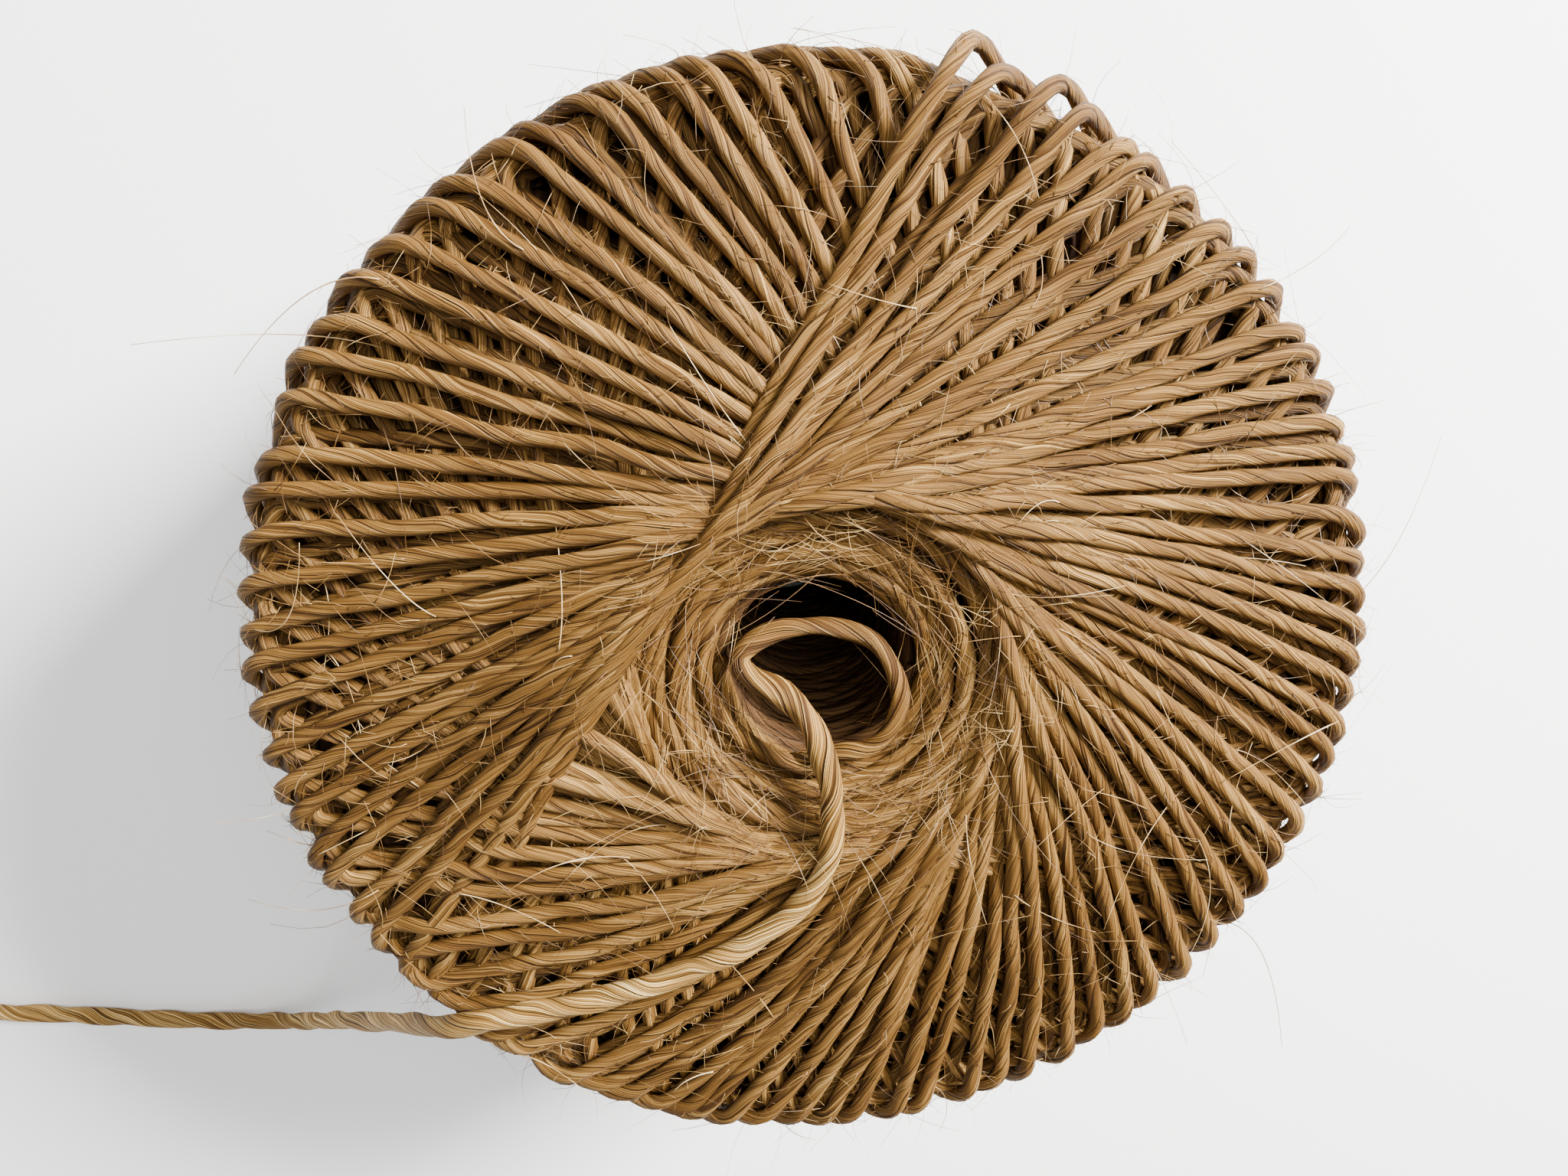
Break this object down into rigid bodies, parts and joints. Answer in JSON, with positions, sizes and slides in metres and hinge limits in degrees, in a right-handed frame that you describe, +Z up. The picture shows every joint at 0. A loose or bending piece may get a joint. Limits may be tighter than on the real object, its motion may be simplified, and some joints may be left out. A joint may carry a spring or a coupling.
{
  "type": "ball of sisal string",
  "caption": "Flat-ended ball of coarse natural twine wound in a swirl of crossing loops round a hollow core, with its inner end pulled out to lie loose beside it.",
  "frame": {"origin": "on the ball's axis, at the flat foot that it stands on", "axes": "+Z up along the ball's axis, out of the core's mouth; the loose end leaves the ball between -X and -Y and runs along -X"},
  "size_m": [0.2289, 0.1717, 0.0851],
  "materials": {
    "sisal_twine": "golden tan single-ply sisal, hairy, with a soft fibre sheen",
    "sisal_loose": "paler, open-twisted sisal with a silkier sheen"
  },
  "bodies": {
    "root": {"ball": "sisal_twine", "loose_end": "sisal_loose"}
  },
  "joints": []
}
